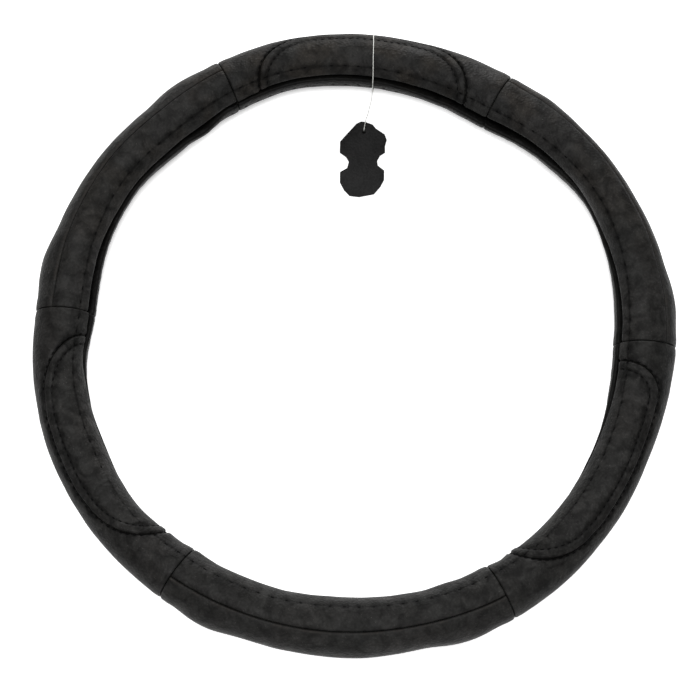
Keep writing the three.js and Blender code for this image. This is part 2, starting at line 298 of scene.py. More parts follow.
def placeOnPanels(angle):
    turned = np.mod(angle - ring["firstSeam"], around360)
    index = np.searchsorted(starts, turned, side="right") - 1
    return index, (turned - starts[index]) / spans[index]


# a smooth closed curve through one of the panels' lists
def curveThrough(key):
    values = np.array([value for panel in panels for value in panel[key]], float)
    perPanel = len(values) // len(panels)

    def at(angle):
        index, share = placeOnPanels(np.asarray(angle, float))
        along = (index + share) * perPanel
        start = np.floor(along).astype(int)
        t = along - start
        a, b, c, d = (values[(start + step) % len(values)] for step in (-1, 0, 1, 2))
        return b + 0.5 * t * (c - a + t * (2 * a - 5 * b + 4 * c - d + t * (3 * b - 3 * c + d - a)))

    return at


shiftAt, widenAt, halfHeightAt = curveThrough("shift"), curveThrough("widen"), curveThrough("halfHeight")
frontLipAt, backLipAt = curveThrough("frontLip"), curveThrough("backLip")
bulgeHeights = np.array([panel.get("bulges", [0, 0]) for panel in panels], float)


# a smooth swelling that falls from 1 in its middle to 0 at its reach
def swellAt(distance, reach):
    return np.cos(np.minimum(1, np.abs(distance) / reach) * math.pi / 2) ** 2


def bulgeAt(angle, facing):
    index, share = placeOnPanels(angle)
    along = share * spans[index] * arcPerDegree
    fromSeam = np.minimum(along, spans[index] * arcPerDegree - along)
    swell = swellAt(fromSeam - ring["bulgeFromSeam"], ring["bulgeHalfLength"])
    height = bulgeHeights[index, (share >= 0.5).astype(int)]
    return height * swell * np.maximum(0, np.cos((facing - ring["bulgeFacing"]) * degree))


def gatherAt(angle, facing):
    turned = np.mod(angle, around360)
    near = swellAt(np.mod(facing, around360) - ring["gatherFacing"], ring["gatherReach"])
    return near * sum(height * swellAt(turned - at, reach) for at, reach, height in gathers)


# a point of the tube, depth measured inwards from the leather's outside
def tubePoint(angle, facing, depth):
    turn, face = angle * degree, facing * degree
    inwards = depth - gatherAt(angle, facing)
    radius = ring["radius"] + shiftAt(angle) + (ring["halfWidth"] + widenAt(angle) - inwards) * np.sin(face)
    height = ring["restHeight"] + (halfHeightAt(angle) - inwards) * np.cos(face)
    return np.stack([radius * np.cos(turn), radius * np.sin(turn), height], -1)


def leatherPoint(angle, facing, depth):
    lift = bulgeAt(angle, facing) * np.clip(1 - depth / ring["leather"], 0, 1)
    point = tubePoint(angle, facing, depth - lift)
    point[..., 2] = np.maximum(point[..., 2], ring["floorClear"])
    return point


# soft unevenness of leather over foam: a few fixed waves of different length and direction
uneven = {"seed": 11, "waves": 14, "lengths": (13, 55), "lastPhase": 6.28, "height": 0.010, "perPanel": 37}
waveSource = np.random.default_rng(uneven["seed"])
waves = [
    (
        2 * math.pi / waveSource.uniform(*uneven["lengths"]),
        waveSource.uniform(0, math.pi),
        waveSource.uniform(0, uneven["lastPhase"]),
    )
    for _ in range(uneven["waves"])
]


def unevenness(along, across):
    height = np.zeros(np.broadcast(along, across).shape)
    for rate, turn, phase in waves:
        height += np.sin(rate * (along * math.cos(turn) + across * math.sin(turn)) + phase) / rate
    return height * uneven["height"]


# how far a rounded edge falls away at a distance from it
def rolled(distance, radius):
    inside = np.clip(distance, 0, radius)
    return radius - np.sqrt(np.maximum(0, radius**2 - (radius - inside) ** 2))


def smooth(low, high, value):
    t = np.clip((value - low) / (high - low), 0, 1)
    return t * t * (3 - 2 * t)


def bell(distance, width):
    return np.exp(-((distance / width) ** 2))


# the curved seam of a grip panel's insert
def insertFeet(index):
    first = ring["firstSeam"] + starts[index]
    feet = panels[index]["insert"]["feet"]
    return first + feet[0], first + spans[index] - feet[1]


def climbAt(angle, index):
    feet, climbs = insertFeet(index), panels[index]["insert"]["climbs"]
    climbed = np.minimum((angle - feet[0]) / climbs[0], (feet[1] - angle) / climbs[1])
    return np.where(climbed <= 0, 0, np.sqrt(np.maximum(0, 1 - np.maximum(0, 1 - climbed) ** 2)))


def insertSeamAt(angle, index):
    lip = frontLipAt(angle)
    return lip + (panels[index]["insert"]["facing"] - lip) * climbAt(angle, index)


# angles that follow the seam evenly, foot to foot
def insertAngles(index, climbRows, spacing):
    feet, climbs = insertFeet(index), panels[index]["insert"]["climbs"]
    shares = 1 - np.sqrt(1 - (np.arange(1, climbRows + 1) / climbRows) ** 2)
    level = (feet[1] - climbs[1]) - (feet[0] + climbs[0])
    middle = np.linspace(0, level, max(2, int(level * arcPerDegree / spacing)) + 1)[1:-1]
    rising = feet[0] + climbs[0] * shares
    falling = (feet[1] - climbs[1] * shares)[::-1]
    return np.concatenate([rising, feet[0] + climbs[0] + middle, falling])


def insertSeamLine(index):
    feet = insertFeet(index)
    angles = np.concatenate([[feet[0]], insertAngles(index, 40, 1.0), [feet[1]]])
    return np.stack([angles * arcPerDegree, insertSeamAt(angles, index) * facePerDegree], -1)


def distanceToLine(along, across, line):
    best = np.full(np.broadcast(along, across).shape, np.inf)
    for (x0, y0), (x1, y1) in zip(line[:-1], line[1:]):
        dx, dy = x1 - x0, y1 - y0
        share = np.clip(((along - x0) * dx + (across - y0) * dy) / (dx * dx + dy * dy + 1e-12), 0, 1)
        best = np.minimum(best, np.hypot(along - x0 - share * dx, across - y0 - share * dy))
    return best


# points at an even pitch along a line, with the line's direction there
def evenPoints(line, pitch, inset):
    steps = np.hypot(*np.diff(line, axis=0).T)
    length = np.concatenate([[0], np.cumsum(steps)])
    count = max(2, int(round((length[-1] - 2 * inset) / pitch)) + 1)
    wanted = np.linspace(inset, length[-1] - inset, count)

    def pointAt(distance):
        return np.stack([np.interp(distance, length, line[:, k]) for k in (0, 1)], -1)

    way = pointAt(wanted + 0.5) - pointAt(wanted - 0.5)
    return pointAt(wanted), way / np.linalg.norm(way, axis=1, keepdims=True)


# the insert's two rows follow its seam, one inside it and one beside it
def insertRows(index):
    line = insertSeamLine(index)
    way = np.gradient(line, axis=0)
    way /= np.linalg.norm(way, axis=1, keepdims=True)
    inwards = np.stack([way[:, 1], -way[:, 0]], -1)
    rows = []
    for offset in (sewing["insertRow"], -sewing["insertOuterRow"]):
        row = line + inwards * offset
        kept = row[:, 1] > frontLipAt(row[:, 0] / arcPerDegree) * facePerDegree + sewing["insertFromLip"]
        if offset > 0:
            kept &= distanceToLine(row[:, 0], row[:, 1], line) > sewing["insertRowClear"]
        places, ways = evenPoints(row[kept], sewing["insertPitch"], sewing["insertInset"])
        rows.append((places, ways, sewing["insertStitch"]))
    return rows


# the rows of stitches of each panel: place and direction on the unrolled leather, and the stitch's length
def stitchRows(index):
    first = ring["firstSeam"] + starts[index]
    angles = np.linspace(first + sewing["hemFromSeam"], first + spans[index] - sewing["hemFromSeam"], 60)
    front = np.full_like(angles, sewing["hemFacing"])
    back = around360 + backLipAt(angles) - sewing["backHemOffset"]
    rows = []
    for facings in (front, back):
        line = np.stack([angles * arcPerDegree, facings * facePerDegree], -1)
        places, ways = evenPoints(line, sewing["hemPitch"], sewing["hemInset"])
        rows.append((places, ways, sewing["hemStitch"]))
    return rows + (insertRows(index) if "insert" in panels[index] else [])


rowsOfPanel = [stitchRows(index) for index in range(len(panels))]


# how deep the stitches pull the leather in
def stitchDepth(along, across, index):
    depth = np.zeros(np.broadcast(along, across).shape)
    for places, ways, length in rowsOfPanel[index]:
        for (x, y), (wx, wy) in zip(places, ways):
            ahead = (along - x) * wx + (across - y) * wy
            aside = (across - y) * wx - (along - x) * wy
            beyond = np.maximum(0, np.abs(ahead) - length / 2 + stitchPull["short"])
            depth += stitchPull["depth"] * bell(aside, stitchPull["width"]) * bell(beyond, stitchPull["fade"])
            depth += dimple["depth"] * bell(aside, dimple["width"]) * bell(ahead, length * dimple["reach"])
    return depth


# a seam's edge rolls in, and the leather swells a little beside it
def seamDepth(distance, kind):
    height, middle, width = swells[kind]
    return rolled(distance, sewing["seamRoll"]) - height * bell(distance - middle, width)


# a leather piece is described by its ends, its two edges round the section, and what it is sewn to
def surfaceDepth(piece, angle, facing):
    along, across = angle * arcPerDegree, facing * facePerDegree
    depth = np.zeros(np.broadcast(along, across).shape)
    if piece["sewnEnds"]:
        fromEnd = np.minimum(angle - piece["ends"][0], piece["ends"][1] - angle) * arcPerDegree
        depth = depth + seamDepth(fromEnd, "panelSeam")
    low, high = piece["low"](angle), piece["high"](angle)
    if piece["seamLine"] is None:
        depth += seamDepth((high - facing if piece["hemLow"] else facing - low) * facePerDegree, "longSeam")
    else:
        apart = distanceToLine(along, across, piece["seamLine"]) - sewing["panelGap"] / 2
        if piece["padded"]:
            fall = (sewing["padWidth"] + step for step in sewing["padFall"])
            border = smooth(*sewing["padRise"], apart) * (1 - smooth(*fall, apart))
            depth += rolled(apart, sewing["seamRoll"]) - sewing["padHeight"] * border
        else:
            depth += seamDepth(apart, "insertSeam")
    if piece["hemLow"]:
        depth += rolled((facing - frontLipAt(angle)) * facePerDegree, sewing["lipRoll"])
    if piece["hemHigh"]:
        depth += rolled((high - facing) * facePerDegree, sewing["lipRoll"])
    depth = np.minimum(depth, sewing["deepest"]) + stitchDepth(along, across, piece["panel"])
    return depth - unevenness(along + uneven["perPanel"] * piece["panel"], across)


edgeSteps = np.array([0, 0.1, 0.25, 0.45, 0.7, 1.0, 1.4, 1.9, 2.6])  # mm from an edge
grid = {"along": 1.5, "across": 1.0, "inside": 9, "climbRows": 26}  # mm between points, and numbers of rows
wearBand = (0.9, 0.8)  # mm from a long seam, and its width
noSeamNear = 50.0  # mm, for pieces without an insert's seam


# facings of one row of points, close together at both edges
def rowFacings(low, high, count):
    width = (high - low) * facePerDegree
    edge = edgeSteps * min(1, width / (3 * edgeSteps[-1]))
    middle = np.linspace(edge[-1], width - edge[-1], count + 2)[1:-1]
    return low + np.concatenate([edge, middle, (width - edge)[::-1]]) / facePerDegree


def makeMesh(name, points, faces, material):
    data = bpy.data.meshes.new(name)
    data.from_pydata([tuple(p) for p in np.asarray(points) * mm], [], faces)
    data.materials.append(material)
    data.polygons.foreach_set("use_smooth", [True] * len(data.polygons))
    data.update()
    return data


def setAttribute(data, name, kind, values):
    key = "value" if kind == "FLOAT" else "vector"
    data.attributes.new(name, kind, "POINT").data.foreach_set(key, np.array(values, float).ravel())


# closed loops of points, one after another, joined by quads
def loopFaces(rows, width, closed):
    faces = []
    for row in range(rows if closed else rows - 1):
        here, there = row * width, (row + 1) % rows * width
        steps = [(i, (i + 1) % width) for i in range(width)]
        faces += [(here + i, here + j, there + j, there + i) for i, j in steps]
    if not closed:
        faces.append(tuple(reversed(range(width))))
        faces.append(tuple(range((rows - 1) * width, rows * width)))
    return faces


# the leather's hidden side: facings and depths from its high edge round to its low edge
def insideOf(piece, angles, lows, highs):
    hemDepth = ring["leather"] + ring["seat"] + ring["rubber"] + ring["hemCover"]
    sewnDepth = ring["seamThickness"] + ring["seamClear"]
    lowDepth = sewnDepth + piece["hemLowAt"](angles) * (hemDepth - sewnDepth)
    highDepth = np.full(len(angles), hemDepth if piece["hemHigh"] else sewnDepth)
    thin = np.full(len(angles), ring["leather"])
    fold = ring["leather"] / facePerDegree
    fold = fold * np.minimum(1, (highs - lows) / (3 * fold))
    inner = [(highs, highDepth), (highs - fold, highDepth), (highs - fold, thin)]
    for share in np.linspace(0, 1, grid["inside"] + 2)[1:-1]:
        inner.append((highs - fold - share * (highs - lows - 2 * fold), thin))
    return inner + [(lows + fold, thin), (lows + fold, lowDepth), (lows, lowDepth)]


def dressPiece(piece, material):
    angles = piece["angles"]
    lows, highs = piece["low"](angles), piece["high"](angles)
    count = max(6, int(np.max(highs - lows) * facePerDegree / grid["across"]))
    facings = np.array([rowFacings(low, high, count) for low, high in zip(lows, highs)])
    outside = leatherPoint(angles[:, None], facings, surfaceDepth(piece, angles[:, None], facings))
    inner = insideOf(piece, angles, lows, highs)
    inside = np.stack([leatherPoint(angles, facing, depth) for facing, depth in inner], 1)
    points = np.concatenate([outside, inside], 1)
    rows, width = points.shape[:2]
    data = makeMesh(piece["name"], points.reshape(-1, 3), loopFaces(rows, width, False), material)

    line = piece["seamLine"]
    worn = np.zeros((rows, width))
    if line is None and not piece["hemLow"]:
        fromSeam = (facings - lows[:, None]) * facePerDegree
        worn[:, : facings.shape[1]] = bell(fromSeam - wearBand[0], wearBand[1])
    setAttribute(data, "seamWear", "FLOAT", worn)
    across = np.concatenate([facings, np.stack([facing for facing, _ in inner], 1)], 1) * facePerDegree
    along = angles[:, None] * arcPerDegree + 0 * across
    apart = np.full(across.shape, noSeamNear) if line is None else distanceToLine(along, across, line)
    apart *= 1 if piece["padded"] or line is None else -1  # below zero outside the insert
    setAttribute(data, "unrolled", "FLOAT_VECTOR", np.stack([along, across, apart], -1))
    # the stitches' depth also darkens the leather's colour: painted shade in their dimples
    setAttribute(data, "stitchPull", "FLOAT", stitchDepth(along, across, piece["panel"]))
    made = linkObject(piece["name"], data)
    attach(made, "root")
    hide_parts(piece["node"])
    return made


leatherLook = {
    "dark": "#323231",
    "light": "#363534",
    "warmPatchAndSheen": "#3b352e",
    "wear": "#5c5854",
    "speck": "#a5a19b",
    "grainSize": 1.3,  # mm; the real grain is about half of it and would not show
    "poreSize": 0.5,
    "patchSize": 34.0,
    "roughness": (0.4, 0.54),
    "shine": 0.05,
    "sewn": True,
}
# spans of noise that become patches, warm patches with a painted warm sheen towards the far side, specks,
# worn spots and the grain's light and dark
leatherSpans = {
    "patches": (0.32, 0.68),
    "warmer": (0.46, 0.62),
    "paintedWarmSheen": (0.02, 0.16, 0.05, 0.42),  # painted warm sheen, stronger towards the lit far side, by metres from the middle
    "specks": (0.715, 0.76, 0.0, 0.5),
    "ragged": (0.45, 0.65, 0.0, 0.7),
    "valleys": (0.1, 0.7, 1.18, 0.78),
}
creaseSize = 7.0
warmPatches = 0.6  # of the patches' size
leatherBump = (0.8, 0.0006)
grainShare, foldShare = 0.6, 1.7

# painted shade along the sewn lines: where a line is full and where it is gone, in mm, and how dark it is
paintedLineShade = {"hem": (0.2, 0.8, 0.32), "row": (0.2, 0.8, 0.3), "seam": (0.3, 1.1, 0.25)}
sewnShade = {
    "everywhere": 0.5,  # the same uneven painted shade also lies on the leather between the lines
    "ragged": (0.3, 0.65, 0.3, 1.4),
    "lightLeft": 0.2,
    "backStripShade": (228.0, 272.0),  # facings over which the leather darkens into painted shade on the back strip below the slit
    "backStripShadeDarker": 0.75,
    "wrinkles": (0.42, 0.16, 0.0),  # per mm along and across
    "wrinkleReach": (1.0, 6.5),
}


# painted shade of the sewing: thin dark lines along the hem and the insert's seam and row, the dimples of the
# stitches, and the back strip below the slit; then the height of the fine wrinkles beside the hem
def sewingShade(tree, ragged):
    shade = sewnShade
    flat = addNode(tree, "ShaderNodeAttribute", attribute_name="unrolled").outputs["Vector"]
    parts = addNode(tree, "ShaderNodeSeparateXYZ", {0: flat}).outputs
    # painted shade in the dimples that the stitches draw in
    dimpleShade = addNode(tree, "ShaderNodeAttribute", attribute_name="stitchPull").outputs["Fac"]
    distances = {
        "hem": reckon(tree, "SUBTRACT", parts["Y"], sewing["hemFacing"] * facePerDegree),
        "row": reckon(tree, "SUBTRACT", parts["Z"], sewing["insertRow"]),
        "seam": parts["Z"],
    }
    distances = {line: reckon(tree, "ABSOLUTE", distance) for line, distance in distances.items()}
    total = reckon(tree, "ADD", dimpleShade, shade["everywhere"])
    for line, (full, gone, darker) in paintedLineShade.items():
        near = remap(tree, distances[line], full, gone, 1.0, 0.0)
        total = reckon(tree, "MULTIPLY_ADD", near, darker, total)
    total = reckon(tree, "MULTIPLY", total, remap(tree, ragged, *shade["ragged"]))
    left = reckon(tree, "MAXIMUM", reckon(tree, "SUBTRACT", 1.0, total), shade["lightLeft"])
    # painted shade on the back strip below the slit
    turned = (facing * facePerDegree for facing in shade["backStripShade"])
    left = reckon(tree, "MULTIPLY", left, remap(tree, parts["Y"], *turned, 1.0, 1 - shade["backStripShadeDarker"]))
    stretched = addNode(tree, "ShaderNodeVectorMath", {0: flat, 1: shade["wrinkles"]}, operation="MULTIPLY")
    noise = {"Vector": stretched.outputs[0], "Scale": 1.0, "Detail": 3.0}
    wrinkles = addNode(tree, "ShaderNodeTexNoise", noise).outputs["Fac"]
    near = remap(tree, distances["hem"], *shade["wrinkleReach"], 1.0, 0.0)
    return left, reckon(tree, "MULTIPLY", wrinkles, near)


# coated split cowhide, embossed: matte black with a fine pebble grain, worn grey at raised edges
def leatherMaterial(name, look):
    material, tree = newMaterial(name)
    place = objectPlace(tree)
    marks = leatherSpans
    patches = noiseOf(tree, place, look["patchSize"], 2.0)
    browner = noiseOf(tree, place, look["patchSize"] * warmPatches, 1.5)
    pores = noiseOf(tree, place, look["poreSize"], 2.0)
    creases = noiseOf(tree, place, creaseSize, 5.0, 0.6)
    cells = {"Vector": place, "Scale": 1 / (look["grainSize"] * mm)}
    grain = addNode(tree, "ShaderNodeTexVoronoi", cells, feature="SMOOTH_F1").outputs["Distance"]
    lighter = remap(tree, patches, *marks["patches"])
    colour = mixed(tree, lighter, linear(look["dark"]), linear(look["light"]))
    farther = addNode(tree, "ShaderNodeSeparateXYZ", {0: place}).outputs["Y"]
    # painted warm sheen: the warm patches grow towards the far side, which the key lamp lights
    paintedWarmSheen = remap(tree, farther, *marks["paintedWarmSheen"])
    warmPatchesAndSheen = reckon(tree, "MULTIPLY", remap(tree, browner, *marks["warmer"]), paintedWarmSheen)
    colour = mixed(tree, warmPatchesAndSheen, colour, linear(look["warmPatchAndSheen"]))
    colour = mixed(tree, remap(tree, pores, *marks["specks"]), colour, linear(look["speck"]))
    wear = addNode(tree, "ShaderNodeAttribute", attribute_name="seamWear").outputs["Fac"]
    worn = reckon(tree, "MULTIPLY", wear, remap(tree, creases, *marks["ragged"]))
    colour = mixed(tree, worn, colour, linear(look["wear"]))
    heights = reckon(tree, "MULTIPLY_ADD", grain, grainShare, creases)
    light = remap(tree, grain, *marks["valleys"])
    # the painted shade of the sewing darkens the colour together with the grain
    if look["sewn"]:
        shade, folds = sewingShade(tree, creases)
        heights = reckon(tree, "MULTIPLY_ADD", folds, foldShare, heights)
        light = reckon(tree, "MULTIPLY", light, shade)
    shaded = addNode(tree, "ShaderNodeVectorMath", {0: colour, "Scale": light}, operation="SCALE").outputs[0]
    roughness = remap(tree, creases, 0.0, 1.0, *look["roughness"])
    coat(tree, shaded, roughness, look["shine"], heights, leatherBump)
    return material


# a plain panel is a face strip and an outer strip, sewn along a long seam
def plainPieces(panel, shared, near):
    ends = shared["ends"]
    count = int((ends[1] - ends[0]) * arcPerDegree / grid["along"])
    middle = np.linspace(ends[0] + near[-1], ends[1] - near[-1], count)[1:-1]
    side = sewing["panelGap"] / 2 / facePerDegree
    shared = {**shared, "angles": np.concatenate([ends[0] + near, middle, (ends[1] - near)[::-1]])}
    shared.update({"seamLine": None, "padded": False})
    face = {
        **shared, "name": f"{panel['name']}_face_leather", "node": f"{panel['name']}_face_strip",
        "low": frontLipAt, "high": lambda angle: panel["longSeam"] - side + 0 * angle,
        "hemLow": True, "hemHigh": False, "hemLowAt": np.ones_like,
    }
    outer = {
        **shared, "name": f"{panel['name']}_outer_leather", "node": f"{panel['name']}_outer_strip",
        "low": lambda angle: panel["longSeam"] + side + 0 * angle, "high": shared["backLow"],
        "hemLow": False, "hemHigh": True, "hemLowAt": np.zeros_like,
    }
    return [face, outer]


# a grip panel is an outer piece with a padded insert
def gripPieces(index, shared, near):
    panel, ends, feet = panels[index], shared["ends"], insertFeet(index)
    inner = insertAngles(index, grid["climbRows"], grid["along"])
    hemEnd = ring["leather"] / arcPerDegree

    def countOf(stretch):
        return max(3, int(stretch * arcPerDegree / grid["along"]))

    before = np.linspace(ends[0] + near[-1], feet[0] - hemEnd, countOf(feet[0] - ends[0]))[1:]
    after = np.linspace(feet[1] + hemEnd, ends[1] - near[-1], countOf(ends[1] - feet[1]))[:-1]
    angles = [ends[0] + near, before, [feet[0]], inner, [feet[1]], after, (ends[1] - near)[::-1]]
    side = sewing["panelGap"] / 2 / facePerDegree
    shared = {**shared, "seamLine": insertSeamLine(index)}

    def outerLow(angle):
        climbing = climbAt(angle, index) > 0
        return np.where(climbing, insertSeamAt(angle, index) + side, frontLipAt(angle))

    insert = {
        **shared, "name": f"{panel['name']}_insert_leather", "node": f"{panel['name']}_insert",
        "angles": inner[1:-1], "sewnEnds": False, "padded": True,
        "low": frontLipAt, "high": lambda angle: insertSeamAt(angle, index) - side,
        "hemLow": True, "hemHigh": False, "hemLowAt": np.ones_like,
    }
    outer = {
        **shared, "name": f"{panel['name']}_outer_leather", "node": f"{panel['name']}_outer",
        "angles": np.concatenate(angles), "padded": False, "low": outerLow, "high": shared["backLow"],
        "hemLow": False, "hemHigh": True,
        "hemLowAt": lambda angle: ((angle < feet[0]) | (angle > feet[1])).astype(float),
    }
    return [insert, outer]


def panelPieces(index):
    panel = panels[index]
    gap = sewing["panelGap"] / 2 / arcPerDegree
    first = ring["firstSeam"] + starts[index]
    shared = {
        "panel": index,
        "ends": (first + gap, first + spans[index] - gap),
        "sewnEnds": True,
        "backLow": lambda angle: around360 + backLipAt(angle),
    }
    near = edgeSteps / arcPerDegree
    return gripPieces(index, shared, near) if "insert" in panel else plainPieces(panel, shared, near)


leatherSkin = leatherMaterial("blackEmbossedLeather", leatherLook)
pieces = [piece for index in range(len(panels)) for piece in panelPieces(index)]
for piece in pieces:
    dressPiece(piece, leatherSkin)
    print("leather piece", piece["name"])

rubberLook = {
    "colour": "#0a0a0a",
    "flowSize": 9.0,
    "roughness": (0.6, 0.82),
    "shine": 0.05,
    "bump": (0.2, 0.0003),
    "along": 1.5,  # degrees of ring between rows
    "perRib": 6,
}


# moulded EVA-filled rubber: flat black with a faint skin from the mould
def rubberMaterial():
    look = rubberLook
    material, tree = newMaterial("mouldedRubber")
    flow = noiseOf(tree, objectPlace(tree), look["flowSize"], 3.0)
    roughness = remap(tree, flow, 0.0, 1.0, *look["roughness"])
    coat(tree, linear(look["colour"]), roughness, look["shine"], flow, look["bump"])
    return material


def makeRubber():
    angles = np.arange(0, around360, rubberLook["along"])
    outsideDepth = ring["leather"] + ring["seat"]
    clear = outsideDepth / facePerDegree * ring["halfWidth"] / (ring["halfWidth"] - ring["leather"])
    low, high = frontLipAt(angles) + clear, around360 + backLipAt(angles) - clear
    count = ring["ribs"] * rubberLook["perRib"] + 1
    share = np.linspace(0, 1, count)
    facings = low[:, None] + (high - low)[:, None] * share
    ribs = ring["ribHeight"] * (0.5 - 0.5 * np.cos(2 * math.pi * share * ring["ribs"]))
    outside = tubePoint(angles[:, None], facings, outsideDepth + 0 * facings)
    inside = tubePoint(angles[:, None], facings, outsideDepth + ring["rubber"] + ribs + 0 * facings)
    points = np.concatenate([outside, inside[:, ::-1]], 1).reshape(-1, 3)
    data = makeMesh("inner_rubber", points, loopFaces(len(angles), 2 * count, True), rubberMaterial())
    made = linkObject("inner_rubber", data)
    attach(made, "root")
    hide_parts("inner_rubber_ring")


makeRubber()
print("rubber ring in place")

stitchLook = {
    "colour": "#060606",
    "roughness": 0.85,
    "shine": 0.05,
    "strandSize": 0.35,
    "bump": (0.5, 0.0001),
    "sunk": 0.12,  # mm
    "edgeClear": 0.4,  # mm from the edge of its piece
    "step": 0.4,  # mm to the point that a stitch's direction is taken from
}
# loose loops of the lacing, beside the back lip where it shows
lacing = {
    "colour": "#34322f",
    "stretches": [(46.0, 71.0), (120.0, 126.0), (168.0, 176.0), (285.0, 303.0)],  # degrees of ring
    "pitch": 2.6,
    "length": 3.0,
    "thickness": 0.6,
    "fromLip": 8.5,  # degrees of section
    "seed": 5,
    "uneven": 0.3,
    "rise": (-3, 2),
    "lean": (0.9, 2.3),
}


# bonded polyester thread: black and dull, drawn down into the leather
def stitchMaterial(name, colour):
    look = stitchLook
    material, tree = newMaterial(name)
    strands = noiseOf(tree, objectPlace(tree), look["strandSize"], 2.0)
    coat(tree, linear(colour), look["roughness"], look["shine"], strands, look["bump"])
    return material


# one rounded stitch on every point, lying along the row and standing on the leather
def stitchTree():
    tree = bpy.data.node_groups.new("stitchesOnPoints", "GeometryNodeTree")
    kinds = {"Points": "Geometry", "Stitch Length": "Float", "Thread Thickness": "Float"}
    kinds["Thread"] = "Material"
    keys = {}
    for name, kind in kinds.items():
        socket = tree.interface.new_socket(name, in_out="INPUT", socket_type=f"NodeSocket{kind}")
        keys[name] = socket.identifier
    tree.interface.new_socket("Stitches", in_out="OUTPUT", socket_type="NodeSocketGeometry")
    given = addNode(tree, "NodeGroupInput").outputs
    beadSizes = {"Segments": 10, "Rings": 7, "Radius": 0.5}
    bead = addNode(tree, "GeometryNodeMeshUVSphere", beadSizes).outputs["Mesh"]
    thick = given["Thread Thickness"]
    size = addNode(tree, "ShaderNodeCombineXYZ", {"X": given["Stitch Length"], "Y": thick, "Z": thick})
    sized = {"Geometry": bead, "Scale": size.outputs["Vector"]}
    stitch = addNode(tree, "GeometryNodeTransform", sized).outputs["Geometry"]
    ways = [
        addNode(tree, "GeometryNodeInputNamedAttribute", {"Name": name}, data_type="FLOAT_VECTOR")
        for name in ("along", "up")
    ]
    ways = {place: node.outputs["Attribute"] for place, node in enumerate(ways)}
    turn = addNode(tree, "FunctionNodeAxesToRotation", ways, primary_axis="X", secondary_axis="Z")
    spots = {"Points": given["Points"], "Instance": stitch, "Rotation": turn.outputs["Rotation"]}
    placed = addNode(tree, "GeometryNodeInstanceOnPoints", spots).outputs["Instances"]
    real = addNode(tree, "GeometryNodeRealizeInstances", {"Geometry": placed}).outputs["Geometry"]
    soft = addNode(tree, "GeometryNodeSetShadeSmooth", {"Geometry": real}).outputs["Geometry"]
    done = addNode(tree, "GeometryNodeSetMaterial", {"Geometry": soft, "Material": given["Thread"]})
    addNode(tree, "NodeGroupOutput", {"Stitches": done.outputs["Geometry"]})
    return tree, keys


def sunkPoint(piece, angle, facing):
    return leatherPoint(angle, facing, surfaceDepth(piece, angle, facing) + stitchLook["sunk"])


# the points of a row that lie on one of the panel's pieces, with the row's direction and the way out
def placesOnLeather(index, places, ways):
    found = []
    inset = stitchLook["edgeClear"] / facePerDegree
    own = [piece for piece in pieces if piece["panel"] == index]
    for (x, y), way in zip(places, ways):
        angle, facing = np.array(x / arcPerDegree), np.array(y / facePerDegree)
        turned, raised = way * stitchLook["step"] / (arcPerDegree, facePerDegree)
        for piece in own:
            reaches = piece["angles"][0] < angle < piece["angles"][-1]
            if not reaches or not piece["low"](angle) + inset < facing < piece["high"](angle) - inset:
                continue
            here = sunkPoint(piece, angle, facing)
            ahead = sunkPoint(piece, angle + turned, facing + raised)
            out = leatherPoint(angle, facing, np.array(-1.0)) - leatherPoint(angle, facing, np.array(0.0))
            found.append((here, ahead - here, out))
    return found


# the lacing's loops lean to and fro, unevenly
def lacingRows():
    leans = np.random.default_rng(lacing["seed"])
    rows = []
    for low, high in lacing["stretches"]:
        angles = np.arange(low, high, lacing["pitch"] / arcPerDegree)
        angles = angles + leans.uniform(-lacing["uneven"], lacing["uneven"], len(angles))
        rise = leans.uniform(*lacing["rise"], len(angles))
        facings = around360 + backLipAt(angles) - lacing["fromLip"] + rise
        turns = leans.uniform(*lacing["lean"], len(angles))
        places = np.stack([angles * arcPerDegree, facings * facePerDegree], -1)
        rows.append((places, np.stack([np.cos(turns), np.sin(turns)], -1)))
    return rows


def bakeStitches(kind, rows, length, thickness, thread, tree, keys):
    found = [place for index, (places, ways) in rows for place in placesOnLeather(index, places, ways)]
    data = bpy.data.meshes.new(f"{kind}Points")
    data.from_pydata([tuple(np.asarray(spot) * mm) for spot, _, _ in found], [], [])
    setAttribute(data, "along", "FLOAT_VECTOR", [along for _, along, _ in found])
    setAttribute(data, "up", "FLOAT_VECTOR", [up for _, _, up in found])
    carrier = linkObject(f"{kind}Points", data)
    modifier = carrier.modifiers.new("stitches", "NODES")
    modifier.node_group = tree
    modifier[keys["Stitch Length"]] = length * mm
    modifier[keys["Thread Thickness"]] = thickness * mm
    modifier[keys["Thread"]] = thread
    depsgraph = bpy.context.evaluated_depsgraph_get()
    plain = bpy.data.meshes.new_from_object(carrier.evaluated_get(depsgraph))
    bpy.data.objects.remove(carrier)
    made = linkObject(f"{kind}_stitches", plain)
    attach(made, "root")
    print(kind, "stitches:", len(found))


def makeStitches():
    tree, keys = stitchTree()
    black = stitchMaterial("blackPolyesterThread", stitchLook["colour"])
    grey = stitchMaterial("greyWaxedLacing", lacing["colour"])
    thick = sewing["threadThickness"]
    hems = [(index, row[:2]) for index, rows in enumerate(rowsOfPanel) for row in rows[:2]]
    inserts = [(index, row[:2]) for index, rows in enumerate(rowsOfPanel) for row in rows[2:]]
    loops = [(index, row) for index in range(len(panels)) for row in lacingRows()]
    bakeStitches("hem", hems, sewing["hemStitch"], thick, black, tree, keys)
    bakeStitches("insert", inserts, sewing["insertStitch"], thick, black, tree, keys)
    bakeStitches("lacing", loops, lacing["length"], lacing["thickness"], grey, tree, keys)


makeStitches()

